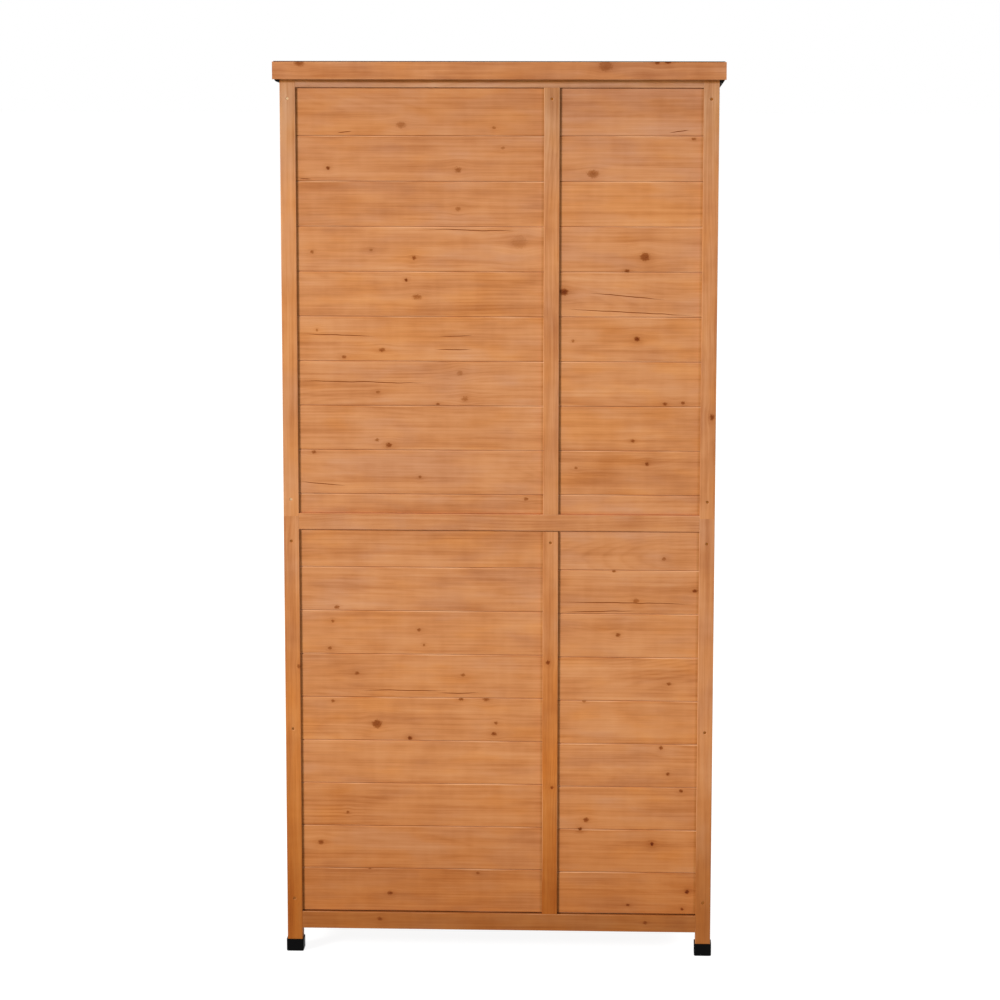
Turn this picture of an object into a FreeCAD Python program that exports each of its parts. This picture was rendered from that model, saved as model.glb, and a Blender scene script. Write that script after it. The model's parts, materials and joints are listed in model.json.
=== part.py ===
import FreeCAD, Part
import math
import os

# Two-tier wooden garden cabinet. Sizes are millimetres. The origin is on the ground under the
# middle of the roof, +Z is up, the doors face -Y and the plain back faces +Y.

Vector = FreeCAD.Vector

# Overall sizes
total_height = 1770.0
roof_width = 871.0
roof_depth = 465.0
side_overhang = 12.5

# Roof, which falls gently towards the doors
roof_slope_deg = 3.5
felt_thick = 1.2
roof_board_thick = 12.0
fascia_thick = 14.0
fascia_height = 33.8
fascia_overrun = 2.5
roof_edge_height = 38.0
roof_edge_round = 6.0

# Posts, and where the upper posts stand on the lower ones
post_size = 30.0
seam_below_rail_top = 6.0

# Rails between the posts
bottom_rail_bottom = 48.0
bottom_rail_height = 34.0
middle_rail_bottom = 858.0
middle_rail_height = 32.0
side_top_rail_height = 32.0
back_rail_reveal = 15.5
front_rail_reveal = 14.0

# Tongue-and-groove boards
board_thick = 10.0
board_cover = 87.3
board_seam = 0.4
board_bevel = 1.5
tongue_thick = 3.4
tongue_high = 4.5
tongue_clearance = 0.2
narrowest_rip = 16.0
slot_depth = 7.0
slot_clearance = 0.3
slot_end_clearance = 0.4
back_board_recess = 5.0
side_board_recess = 8.0
drip_gap = 2.0

# Visible width of the top board of each panel
first_cover_upper_wide = 93.0
first_cover_upper_narrow = 92.5
first_cover_lower_wide = 75.6
first_cover_lower_narrow = 78.5
first_cover_upper_side = 98.0
first_cover_lower_side = 77.0
first_cover_partition = 100.0
first_cover_door = 84.0

# Division between the wide and the narrow compartments
division_x = -102.0
strip_width = 30.0
strip_setback = 4.0
strip_top_gap = 1.5
mullion_width = 40.0
stop_width = 56.0
stop_proud = 3.5
partition_slot_depth = 6.0

# Floors, shelves and the battens under them
batten_size = 15.0
batten_end_gap = 0.5
floor_end_gap = 0.5
upper_shelf_above_floor = 400.0
lower_shelf_above_floor = 380.0
shelf_front_setback = 54.0
shelf_end_gap = 0.5

# Doors
door_thick = 20.0
door_gap = 3.0
door_stop_gap = 0.5
door_stile_width = 40.0
door_rail_width = 42.0

# Hinges, two to a door
hinge_height = 56.0
hinge_inset = 72.0
leaf_width = 20.0
leaf_thick = 1.5
leaf_corner_cut = 3.0
knuckle_radius = 3.0
knuckle_lift = 0.2
knuckle_gap = 0.3
knuckle_side_room = 0.4
pin_radius = 1.5
pin_below_top = 1.5
running_clearance = 0.06

# Sliding bolts, one to a door
upper_bolt_above_door_foot = 330.0
lower_bolt_above_door_foot = 470.0
bolt_plate_length = 36.0
bolt_plate_height = 28.0
bolt_plate_thick = 1.2
bolt_plate_inset = 1.5
guide_width = 6.0
guide_wall = 1.3
guide_inset = 1.0
bolt_height = 12.0
bolt_thick = 3.0
bolt_length = 50.0
bolt_nose_cut = 2.5
bolt_tip_inset = 1.0
bolt_travel = 14.0
bolt_clearance = 0.25
keeper_clearance = 0.35
keeper_plate_width = 11.0
keeper_plate_inset = 1.0
thumb_piece_width = 5.0
thumb_piece_reach = 13.0
thumb_piece_room = 1.0

# Foot caps
cap_wall = 2.0
cap_floor = 3.0
cap_height = 25.0
cap_clearance = 0.15
cap_corner_radius = 3.0

# Worked out from the sizes above
slope = math.tan(math.radians(roof_slope_deg))
post_outer_x = roof_width / 2 - side_overhang
post_inner_x = post_outer_x - post_size
back_face = roof_depth / 2 - fascia_thick
front_face = -back_face
post_inner_y = back_face - post_size
bottom_rail_top = bottom_rail_bottom + bottom_rail_height
middle_rail_top = middle_rail_bottom + middle_rail_height
seam_z = middle_rail_top - seam_below_rail_top
back_fascia_bottom = total_height - felt_thick - fascia_height
back_opening_top = back_fascia_bottom - back_rail_reveal
side_board_outer_x = post_outer_x - side_board_recess
side_board_inner_x = side_board_outer_x - board_thick
hinge_axis_y = front_face - knuckle_radius - knuckle_lift


def roof_top(y):
    """Height of the top of the roof boards at one depth."""
    return total_height - felt_thick - (roof_depth / 2 - y) * slope


front_fascia_bottom = roof_top(-roof_depth / 2) - fascia_height
front_opening_top = front_fascia_bottom - front_rail_reveal
strip_inner_y = post_inner_y + strip_setback
stop_y = (front_face + door_thick + door_stop_gap, -post_inner_y + stop_proud)


def box(x0, x1, y0, y1, z0, z1):
    """A block between two corners."""
    corner = Vector(min(x0, x1), min(y0, y1), min(z0, z1))
    return Part.makeBox(abs(x1 - x0), abs(y1 - y0), abs(z1 - z0), corner)


def prism(points, run):
    """A flat outline carried along a straight run."""
    corners = [Vector(*point) for point in points]
    outline = Part.makePolygon(corners + corners[:1])
    return Part.Face(outline).extrude(Vector(*run))


def above_roof(drop):
    """All the space higher than a plane that lies this far under the top of the roof boards."""
    points = [(-roof_width, y, roof_top(y) - drop) for y in (-roof_depth, roof_depth)]
    points += [(-roof_width, y, 2 * total_height) for y in (roof_depth, -roof_depth)]
    return prism(points, (2 * roof_width, 0, 0))


def cut_all(solids, tools):
    """Cut each solid with the tools that reach it."""
    finished = []
    for solid in solids:
        for tool in tools:
            if solid.BoundBox.intersect(tool.BoundBox):
                solid = solid.cut(tool)
        finished.append(solid)
    return finished


def save(name, shapes):
    """Write the solids of one named piece, or group of like pieces."""
    solids = [solid for shape in shapes for solid in shape.Solids]
    assert all(solid.isValid() for solid in solids), name
    Part.makeCompound(solids).exportStep("parts/" + name + ".step")


def board_outline(height, thick, has_tongue, has_groove):
    """Section of a board as (depth behind its face, height above its lower edge)."""
    middle = thick / 2
    tongue = tongue_thick / 2
    groove = tongue + tongue_clearance
    points = [(board_bevel, 0)]
    if has_groove:
        points += [(middle - groove, 0), (middle - groove, tongue_high)]
        points += [(middle + groove, tongue_high), (middle + groove, 0)]
    points += [(thick, 0), (thick, height)]
    if has_tongue:
        points += [(middle + tongue, height), (middle + tongue, height + tongue_high)]
        points += [(middle - tongue, height + tongue_high), (middle - tongue, height)]
    return points + [(board_bevel, height), (0, height - board_bevel), (0, board_bevel)]


def board_rows(low, high, first_cover):
    """Edges of each board, from the top row down. The last board is ripped to what is left."""
    rows = []
    top = high
    cover = first_cover
    while top > low:
        bottom = top - cover
        if bottom - low < narrowest_rip:
            bottom = low
        rows.append((bottom, top))
        top = bottom
        cover = board_cover
    return rows


def board_panel(low, high, first_cover, place, run, thick=board_thick, jointed=True):
    """Boards laid edge to edge. place turns (depth, height) into a point, run is their length."""
    rows = board_rows(low, high, first_cover)
    boards = []
    for index, (bottom, top) in enumerate(rows):
        is_lowest = index == len(rows) - 1
        start = bottom if is_lowest else bottom + board_seam
        outline = board_outline(top - start, thick, jointed and index > 0, jointed and not is_lowest)
        boards.append(prism([place(depth, start + height) for depth, height in outline], run))
    return boards


def both_sides(solid):
    """A solid and its mirror copy on the other side of the cabinet."""
    return [solid, solid.mirror(Vector(0, 0, 0), Vector(1, 0, 0))]


# Slots that hold the board ends, each cut from every piece that it meets
back_slot_y = (back_face - back_board_recess - board_thick - slot_clearance,
               back_face - back_board_recess + slot_clearance)
strip_right_x = division_x + strip_width / 2
strip_left_x = division_x - strip_width / 2
wide_slot_x = (strip_right_x - slot_depth, post_inner_x + slot_depth)
narrow_slot_x = (-post_inner_x - slot_depth, strip_left_x + slot_depth)
lower_panel_z = (bottom_rail_top, middle_rail_bottom)
upper_back_panel_z = (middle_rail_top, back_opening_top)
side_panel_drop = roof_board_thick + side_top_rail_height
side_panel_top = roof_top(post_inner_y) - side_panel_drop

back_slots = []
for slot_x in (wide_slot_x, narrow_slot_x):
    for slot_z in (lower_panel_z, upper_back_panel_z):
        back_slots.append(box(*slot_x, *back_slot_y, *slot_z))

side_slots = []
for slot_z in (lower_panel_z, (middle_rail_top, total_height)):
    slot = box(side_board_inner_x - slot_clearance, side_board_outer_x + slot_clearance,
               -post_inner_y - slot_depth, post_inner_y + slot_depth, *slot_z)
    side_slots += both_sides(slot.cut(above_roof(side_panel_drop)))

partition_slot_y = (stop_y[1] - partition_slot_depth, strip_inner_y + partition_slot_depth)
partition_slot = box(division_x - board_thick / 2 - slot_clearance,
                     division_x + board_thick / 2 + slot_clearance,
                     *partition_slot_y, 0, total_height)


def make_posts():
    """Eight posts in four pairs: the lower ones stand in the foot caps, the upper ones on them."""
    roof_space = above_roof(roof_board_thick)
    levels = (("lower", cap_floor, seam_z), ("upper", seam_z, total_height))
    sides = (("back", post_inner_y, back_face), ("front", front_face, -post_inner_y))
    for level, z0, z1 in levels:
        for side, y0, y1 in sides:
            post = box(post_inner_x, post_outer_x, y0, y1, z0, z1).cut(roof_space)
            posts = cut_all(both_sides(post), back_slots + side_slots)
            save(level + "_posts_" + side, posts)


def make_rails():
    """Rails between the posts at the back, front and sides."""
    roof_space = above_roof(roof_board_thick)
    bottom_z = (bottom_rail_bottom, bottom_rail_top)
    middle_z = (middle_rail_bottom, middle_rail_top)
    sides = (("back", post_inner_y, back_face, back_opening_top),
             ("front", front_face, -post_inner_y, front_opening_top))
    for side, y0, y1, opening_top in sides:
        levels = (("bottom", bottom_z), ("middle", middle_z), ("top", (opening_top, total_height)))
        for level, rail_z in levels:
            rail = box(-post_inner_x, post_inner_x, y0, y1, *rail_z)
            save(level + "_rail_" + side, [rail.cut(roof_space)])

    side_rails = []
    for rail_z in (bottom_z, middle_z):
        rail = box(post_inner_x, post_outer_x, -post_inner_y, post_inner_y, *rail_z)
        side_rails += both_sides(rail)
    rail = box(post_inner_x, post_outer_x, -post_inner_y, post_inner_y, seam_z, total_height)
    rail = rail.common(above_roof(side_panel_drop)).cut(roof_space)
    save("side_rails_lower", side_rails)
    save("side_rails_upper", both_sides(rail))


def make_back_panels():
    """Four panels of boards behind the posts and strips, and the two strips."""
    spans = (("wide", wide_slot_x, first_cover_lower_wide, first_cover_upper_wide),
             ("narrow", narrow_slot_x, first_cover_lower_narrow, first_cover_upper_narrow))
    for name, slot_x, lower_cover, upper_cover in spans:
        start = slot_x[0] + slot_end_clearance
        length = slot_x[1] - slot_x[0] - 2 * slot_end_clearance

        def place(depth, z):
            return (start, back_face - back_board_recess - depth, z)

        run = (length, 0, 0)
        lower = board_panel(lower_panel_z[0] + drip_gap, lower_panel_z[1], lower_cover, place, run)
        upper = board_panel(*upper_back_panel_z, upper_cover, place, run)
        save("back_boards_lower_" + name, lower)
        save("back_boards_upper_" + name, upper)

    strip_y = (strip_inner_y, back_face)
    cutters = back_slots + [partition_slot]
    lower_top = lower_panel_z[1] - strip_top_gap
    lower_strip = box(strip_left_x, strip_right_x, *strip_y, lower_panel_z[0], lower_top)
    upper_strip = box(strip_left_x, strip_right_x, *strip_y, *upper_back_panel_z)
    save("back_strip_lower", cut_all([lower_strip], cutters))
    save("back_strip_upper", cut_all([upper_strip], cutters))


def make_side_panels():
    """Boards between the front and back posts on each side. The top board follows the roof."""
    end_y = post_inner_y + slot_depth - slot_end_clearance
    roof_space = above_roof(side_panel_drop)

    def place(depth, z):
        return (side_board_outer_x - depth, -end_y, z)

    run = (0, 2 * end_y, 0)
    lower = board_panel(lower_panel_z[0] + drip_gap, lower_panel_z[1], first_cover_lower_side, place, run)
    upper = board_panel(middle_rail_top, side_panel_top, first_cover_upper_side, place, run)
    upper = cut_all(upper, [roof_space])
    for level, boards in (("lower", lower), ("upper", upper)):
        pairs = [both_sides(board) for board in boards]
        save("side_boards_" + level + "_right", [pair[0] for pair in pairs])
        save("side_boards_" + level + "_left", [pair[1] for pair in pairs])


def make_mullions():
    """Post between the two front openings of each tier, with the stop strip the doors close on."""
    tiers = (("lower", lower_panel_z[0], lower_panel_z[1]),
             ("upper", middle_rail_top, front_opening_top))
    for level, z0, z1 in tiers:
        bar = box(division_x - mullion_width / 2, division_x + mullion_width / 2,
                  front_face, stop_y[0], z0, z1)
        stop = box(division_x - stop_width / 2, division_x + stop_width / 2,
                   *stop_y, z0, z1)
        save("front_mullion_" + level, [bar, stop.cut(partition_slot)])


def make_partitions():
    """Walls between the wide and narrow compartments, notched round the rails."""
    y0 = partition_slot_y[0] + slot_end_clearance
    y1 = partition_slot_y[1] - slot_end_clearance

    def place(depth, z):
        return (division_x + board_thick / 2 - depth, y0, z)

    run = (0, y1 - y0, 0)
    deck_underside = middle_rail_top - board_thick
    roof_underside = roof_top(y1) - roof_board_thick
    lower = board_panel(lower_panel_z[0], deck_underside, first_cover_partition, place, run, jointed=False)
    upper = board_panel(middle_rail_top, roof_underside, first_cover_partition, place, run, jointed=False)
    reach = 2 * board_thick
    notches = []
    for bottom, y_start, y_end in ((middle_rail_bottom, post_inner_y, back_face),
                                   (middle_rail_bottom, front_face, -post_inner_y)):
        notches.append(box(division_x - reach, division_x + reach, y_start, y_end, bottom, middle_rail_top))
    for bottom, y_start, y_end in ((back_opening_top, post_inner_y, back_face),
                                   (front_opening_top, front_face, -post_inner_y)):
        notches.append(box(division_x - reach, division_x + reach, y_start, y_end, bottom, total_height))
    notches.append(above_roof(roof_board_thick))
    save("partition_lower", cut_all(lower, notches))
    save("partition_upper", cut_all(upper, notches))


def make_floors():
    """The floor of each tier: boards laid level with the rail tops."""
    y0 = -post_inner_y + floor_end_gap
    y1 = post_inner_y - floor_end_gap
    for name, top in (("floor_lower", bottom_rail_top), ("floor_upper", middle_rail_top)):

        def place(depth, y):
            return (-post_inner_x + floor_end_gap, y, top - depth)

        run = (2 * (post_inner_x - floor_end_gap), 0, 0)
        save(name, board_panel(y0, y1, board_cover, place, run, jointed=False))


def shelf_top(level):
    """Height of the top of the shelf in one tier."""
    if level == "lower":
        return bottom_rail_top + lower_shelf_above_floor
    return middle_rail_top + upper_shelf_above_floor


def make_shelves():
    """One shelf in each wide compartment, and all the battens that carry shelves and floors."""
    x0 = division_x + board_thick / 2
    x1 = side_board_inner_x
    y0 = front_face + shelf_front_setback
    y1 = post_inner_y - shelf_end_gap
    battens = []
    for level in ("lower", "upper"):
        top = shelf_top(level)

        def place(depth, y):
            return (x0 + shelf_end_gap, y, top - depth)

        run = (x1 - x0 - 2 * shelf_end_gap, 0, 0)
        save("shelf_" + level, board_panel(y0, y1, board_cover, place, run, jointed=False))
        batten_z = (top - board_thick - batten_size, top - board_thick)
        battens.append(box(x0, x0 + batten_size, y0, y1, *batten_z))
        battens.append(box(x1 - batten_size, x1, y0, y1, *batten_z))
    save("shelf_battens", battens)

    battens = []
    batten_y = (-post_inner_y + batten_end_gap, post_inner_y - batten_end_gap)
    for top in (bottom_rail_top - board_thick, middle_rail_top - board_thick):
        batten_x = (post_inner_x - batten_size, post_inner_x)
        battens += both_sides(box(*batten_x, *batten_y, top - batten_size, top))
    under_partition = (division_x - batten_size / 2, division_x + batten_size / 2)
    top = bottom_rail_top - board_thick
    battens.append(box(*under_partition, -post_inner_y, post_inner_y, top - batten_size, top))
    save("floor_battens", battens)


def edge_profile(x0, x1, z0, z1, radius, y):
    """Upright section with its lower outer corner rounded, as a face at one depth."""
    centre = Vector(x1 - radius, y, z0 + radius)
    middle = centre + Vector(radius * math.cos(math.pi / 4), 0, -radius * math.sin(math.pi / 4))
    below = Vector(x1 - radius, y, z0)
    beside = Vector(x1, y, z0 + radius)
    edges = [Part.Arc(below, middle, beside).toShape()]
    corners = [beside, Vector(x1, y, z1), Vector(x0, y, z1), Vector(x0, y, z0), below]
    for start, end in zip(corners, corners[1:]):
        edges.append(Part.LineSegment(start, end).toShape())
    return Part.Face(Part.Wire(edges))


def make_roof():
    """Boards on the posts, fascias front and back, edge battens, and felt over all of it."""

    def place(depth, y):
        return (-post_outer_x, y, roof_top(y) - depth)

    run = (2 * post_outer_x, 0, 0)
    boards = board_panel(front_face, back_face, board_cover, place, run, roof_board_thick, False)
    save("roof_boards", boards)

    for name, bottom, y0, y1 in (("back", back_fascia_bottom, back_face, roof_depth / 2),
                                 ("front", front_fascia_bottom, -roof_depth / 2, front_face)):
        points = [(-roof_width / 2, y0, bottom), (-roof_width / 2, y1, bottom)]
        points += [(-roof_width / 2, y1, roof_top(y1)), (-roof_width / 2, y0, roof_top(y0))]
        save("roof_fascia_" + name, [prism(points, (roof_width, 0, 0))])

    felt_outer_x = roof_width / 2 - fascia_overrun
    batten_outer_x = felt_outer_x - felt_thick
    top = roof_top(back_face)
    bottom = top - roof_edge_height
    fall = Vector(0, front_face - back_face, roof_top(front_face) - top)
    batten_round = roof_edge_round - felt_thick
    batten = edge_profile(post_outer_x, batten_outer_x, bottom + felt_thick, top, batten_round, back_face)
    edge_battens = both_sides(batten.extrude(fall))
    skirt = edge_profile(post_outer_x, felt_outer_x, bottom, top + felt_thick, roof_edge_round, back_face)
    skirts = both_sides(skirt.extrude(fall))
    save("roof_edge_battens", edge_battens)

    ends = [(-felt_outer_x, y, roof_top(y)) for y in (-roof_depth / 2, roof_depth / 2)]
    ends += [(-felt_outer_x, y, roof_top(y) + felt_thick) for y in (roof_depth / 2, -roof_depth / 2)]
    felt = prism(ends, (2 * felt_outer_x, 0, 0))
    for skirt, batten in zip(skirts, edge_battens):
        felt = felt.fuse(skirt.cut(batten))
    save("roof_felt", [felt.removeSplitter()])


def make_foot_caps():
    """Moulded caps that the lower posts stand in."""
    grow = cap_wall + cap_clearance
    y0 = post_inner_y - grow
    y1 = back_face + grow
    cap = box(post_inner_x - grow, post_outer_x + grow, y0, y1, 0, cap_height)
    upright = [edge for edge in cap.Edges if edge.BoundBox.ZLength > cap_height / 2]
    cap = cap.makeFillet(cap_corner_radius, upright)
    cap = cap.cut(box(post_inner_x - cap_clearance, post_outer_x + cap_clearance,
                      post_inner_y - cap_clearance, back_face + cap_clearance, cap_floor, cap_height))
    pair = both_sides(cap)
    caps = pair + [half.mirror(Vector(0, 0, 0), Vector(0, 1, 0)) for half in pair]
    save("foot_caps", caps)


def z_cylinder(x, y, radius, z0, z1):
    """An upright round bar."""
    return Part.makeCylinder(radius, z1 - z0, Vector(x, y, z0))


def hinge_leaf(axis_x, side, middle_z, is_door_leaf):
    """One leaf of a lift-off hinge. side is the way it points from the pin.

    The post leaf has the lower knuckle and the pin, and the door leaf's knuckle drops over it.
    """
    low = middle_z - hinge_height / 2
    high = middle_z + hinge_height / 2
    outer_x = axis_x + side * leaf_width
    near_x = axis_x + side * (knuckle_radius + knuckle_side_room)
    cut_x = outer_x - side * leaf_corner_cut
    outline = [(near_x, low), (cut_x, low), (outer_x, low + leaf_corner_cut)]
    outline += [(outer_x, high - leaf_corner_cut), (cut_x, high), (near_x, high)]
    leaf_y = (front_face - leaf_thick, front_face)
    leaf = prism([(x, leaf_y[0], z) for x, z in outline], (0, leaf_thick, 0))
    z0, z1 = (middle_z + knuckle_gap / 2, high) if is_door_leaf else (low, middle_z - knuckle_gap / 2)
    leaf = leaf.fuse(box(axis_x, near_x, *leaf_y, z0, z1))
    leaf = leaf.fuse(z_cylinder(axis_x, hinge_axis_y, knuckle_radius, z0, z1))
    if is_door_leaf:
        leaf = leaf.cut(z_cylinder(axis_x, hinge_axis_y, pin_radius + running_clearance, z0, z1))
    else:
        leaf = leaf.fuse(z_cylinder(axis_x, hinge_axis_y, pin_radius, z1, high - pin_below_top))
    return leaf.removeSplitter()


bolt_back_y = front_face - bolt_plate_thick - bolt_clearance
bolt_front_y = bolt_back_y - bolt_thick


def loop_over_bolt(x0, x1, z, clearance):
    """A folded loop that stands on its plate, with a slot for the flat bolt."""
    half = bolt_height / 2 + clearance
    plate_y = front_face - bolt_plate_thick
    slot_front_y = bolt_front_y - clearance
    outside = half + guide_wall
    loop = box(x0, x1, slot_front_y - guide_wall, plate_y, z - outside, z + outside)
    return loop.cut(box(x0, x1, slot_front_y, plate_y, z - half, z + half))


def bolt_plate(x0, x1, z):
    """A thin plate on the front of the wood."""
    half = bolt_plate_height / 2
    return box(x0, x1, front_face - bolt_plate_thick, front_face, z - half, z + half)


def bolt_case(edge_x, aim, z):
    """Plate and two guide loops on the door. aim is the way the bolt shoots."""
    near = edge_x - aim * bolt_plate_inset
    far = near - aim * bolt_plate_length
    case = bolt_plate(near, far, z)
    for x in (near - aim * (guide_inset + guide_width), far + aim * guide_inset):
        case = case.fuse(loop_over_bolt(x, x + aim * guide_width, z, bolt_clearance))
    return case.removeSplitter()


def bolt_bar(edge_x, aim, z):
    """The flat bolt with its thumb piece, drawn back clear of the door's edge."""
    tip = edge_x - aim * bolt_tip_inset
    tail = tip - aim * bolt_length
    half = bolt_height / 2
    nose = tip - aim * bolt_nose_cut
    outline = [(tail, -half), (nose, -half), (tip, bolt_nose_cut - half)]
    outline += [(tip, half - bolt_nose_cut), (nose, half), (tail, half)]
    bar = prism([(x, bolt_front_y, z + up) for x, up in outline], (0, bolt_thick, 0))
    near_loop = edge_x - aim * (bolt_plate_inset + guide_inset + guide_width)
    thumb_x = near_loop - aim * (bolt_travel + thumb_piece_room)
    thumb = box(thumb_x, thumb_x - aim * thumb_piece_width, front_face - thumb_piece_reach, bolt_back_y,
                z - half, z + half)
    return bar.fuse(thumb).removeSplitter()


def bolt_keeper(stile_x, aim, z):
    """Plate and loop on the mullion that the bolt shoots into."""
    near = stile_x + aim * keeper_plate_inset
    far = near + aim * keeper_plate_width
    middle = (near + far) / 2
    loop = loop_over_bolt(middle - guide_width / 2, middle + guide_width / 2, z, keeper_clearance)
    return bolt_plate(near, far, z).fuse(loop).removeSplitter()


def make_door(name, x0, x1, z0, z1, hinge_side, bolt_z):
    """One framed door with its boards, hinge leaves and bolt. Returns the hardware on the body."""
    back_y = front_face + door_thick
    inner_x = (x0 + door_stile_width, x1 - door_stile_width)
    inner_z = (z0 + door_rail_width, z1 - door_rail_width)
    board_y = (front_face + door_thick / 2 - board_thick / 2, front_face + door_thick / 2 + board_thick / 2)
    slot = box(inner_x[0] - slot_depth, inner_x[1] + slot_depth,
               board_y[0] - slot_clearance, board_y[1] + slot_clearance,
               inner_z[0] - slot_depth, inner_z[1] + slot_depth)
    members = [box(x0, inner_x[0], front_face, back_y, z0, z1)]
    members.append(box(inner_x[1], x1, front_face, back_y, z0, z1))
    members.append(box(*inner_x, front_face, back_y, z0, inner_z[0]))
    members.append(box(*inner_x, front_face, back_y, inner_z[1], z1))
    save(name + "_frame", cut_all(members, [slot]))

    reach = slot_depth - slot_end_clearance

    def place(depth, z):
        return (inner_x[0] - reach, board_y[0] + depth, z)

    run = (inner_x[1] - inner_x[0] + 2 * reach, 0, 0)
    first_cover = first_cover_door + reach
    save(name + "_boards", board_panel(inner_z[0] - reach, inner_z[1] + reach, first_cover, place, run))

    hinge_x, free_x = (x0, x1) if hinge_side < 0 else (x1, x0)
    axis_x = hinge_x + hinge_side * door_gap / 2
    heights = (z0 + hinge_inset, z1 - hinge_inset)
    save(name + "_hinge_leaves", [hinge_leaf(axis_x, -hinge_side, z, True) for z in heights])
    save(name + "_bolt_case", [bolt_case(free_x, -hinge_side, bolt_z)])
    save(name + "_bolt", [bolt_bar(free_x, -hinge_side, bolt_z)])
    leaves = [hinge_leaf(axis_x, hinge_side, z, False) for z in heights]
    keeper = bolt_keeper(free_x - hinge_side * door_gap, -hinge_side, bolt_z)
    return leaves, keeper


def make_doors():
    """Four doors, and the fixed halves of their hinges and bolts."""
    spans = (("wide", division_x + mullion_width / 2 + door_gap, post_inner_x - door_gap, 1),
             ("narrow", -post_inner_x + door_gap, division_x - mullion_width / 2 - door_gap, -1))
    tiers = (("lower", bottom_rail_top, middle_rail_bottom, lower_bolt_above_door_foot),
             ("upper", middle_rail_top, front_opening_top, upper_bolt_above_door_foot))
    leaves = []
    keepers = []
    for level, opening_bottom, opening_top, bolt_above_foot in tiers:
        z0 = opening_bottom + door_gap
        z1 = opening_top - door_gap
        for width, x0, x1, hinge_side in spans:
            bolt_z = z0 + bolt_above_foot
            post_leaves, keeper = make_door("door_" + level + "_" + width, x0, x1, z0, z1, hinge_side, bolt_z)
            leaves += post_leaves
            keepers.append(keeper)
    save("hinge_leaves_on_posts", leaves)
    save("bolt_keepers", keepers)


os.makedirs("parts", exist_ok=True)
make_posts()
make_rails()
make_back_panels()
make_side_panels()
make_mullions()
make_partitions()
make_floors()
make_shelves()
make_roof()
make_foot_caps()
make_doors()
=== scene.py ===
import json
import math
import random

import bmesh
import bpy
from mathutils import Matrix, Vector


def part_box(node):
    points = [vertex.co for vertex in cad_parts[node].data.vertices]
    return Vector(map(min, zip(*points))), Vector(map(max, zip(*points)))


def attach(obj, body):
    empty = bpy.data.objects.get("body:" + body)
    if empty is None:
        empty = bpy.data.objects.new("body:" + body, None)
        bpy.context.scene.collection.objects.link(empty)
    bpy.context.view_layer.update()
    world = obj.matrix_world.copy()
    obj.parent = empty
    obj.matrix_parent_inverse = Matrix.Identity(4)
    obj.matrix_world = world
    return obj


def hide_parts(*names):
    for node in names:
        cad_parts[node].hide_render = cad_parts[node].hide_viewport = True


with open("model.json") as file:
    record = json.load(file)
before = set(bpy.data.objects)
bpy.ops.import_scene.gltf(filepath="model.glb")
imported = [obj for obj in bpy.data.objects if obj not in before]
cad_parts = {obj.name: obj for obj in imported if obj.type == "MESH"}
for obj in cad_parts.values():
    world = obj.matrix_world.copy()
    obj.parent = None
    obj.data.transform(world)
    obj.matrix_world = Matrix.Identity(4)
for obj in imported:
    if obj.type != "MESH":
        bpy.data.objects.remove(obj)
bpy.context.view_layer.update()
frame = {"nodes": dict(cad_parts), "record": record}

# What the frame says of the cabinet's pieces, in metres
MM = 0.001
slot_of = {row["node"]: row["material_slot"] for row in frame["record"]["subparts"]}
body_of = {}
for body_name, members in frame["record"]["behaviour"]["bodies"].items():
    for member in members:
        body_of[member] = body_name
back_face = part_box("upper_posts_back")[1].y
front_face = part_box("upper_posts_front")[0].y
back_boards_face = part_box("back_boards_upper_wide")[1].y
back_fascia_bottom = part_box("roof_fascia_back")[0].z
post_outer_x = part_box("lower_posts_back")[1].x
post_size = back_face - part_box("lower_posts_back")[0].y

# The camera, found from the lines of the photograph
PHOTO_CENTRE = 500.0
FOCAL_PIXELS = 3101.8
SENSOR_MM = 36.0
camera_place = Vector((-0.24712, 6.21848, 1.83661))
camera_yaw = 0.04073
camera_pitch = 0.15168
camera_roll = 0.000714

level_right = Vector((-math.cos(camera_yaw), -math.sin(camera_yaw), 0))
camera_ahead = Vector((math.sin(camera_yaw) * math.cos(camera_pitch),
                       -math.cos(camera_yaw) * math.cos(camera_pitch),
                       -math.sin(camera_pitch)))
level_up = level_right.cross(camera_ahead)
camera_right = math.cos(camera_roll) * level_right + math.sin(camera_roll) * level_up
camera_up = math.cos(camera_roll) * level_up - math.sin(camera_roll) * level_right


def place_on_back(pixel_x, pixel_y):
    """The point on the back boards that shows at one pixel of the photograph."""
    ray = camera_ahead + camera_right * ((pixel_x - PHOTO_CENTRE) / FOCAL_PIXELS)
    ray = ray + camera_up * ((PHOTO_CENTRE - pixel_y) / FOCAL_PIXELS)
    return camera_place + ray * ((back_boards_face - camera_place.y) / ray.y)


def set_camera():
    """Puts the camera where the photograph was taken from."""
    data = bpy.data.cameras.new("camera")
    data.sensor_width = SENSOR_MM
    data.lens = SENSOR_MM * FOCAL_PIXELS / (2 * PHOTO_CENTRE)
    data.clip_end = 200.0
    camera = bpy.data.objects.new("camera", data)
    axes = Matrix((camera_right, camera_up, -camera_ahead)).transposed()
    camera.matrix_world = Matrix.Translation(camera_place) @ axes.to_4x4()
    bpy.context.scene.collection.objects.link(camera)
    bpy.context.scene.camera = camera


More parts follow.
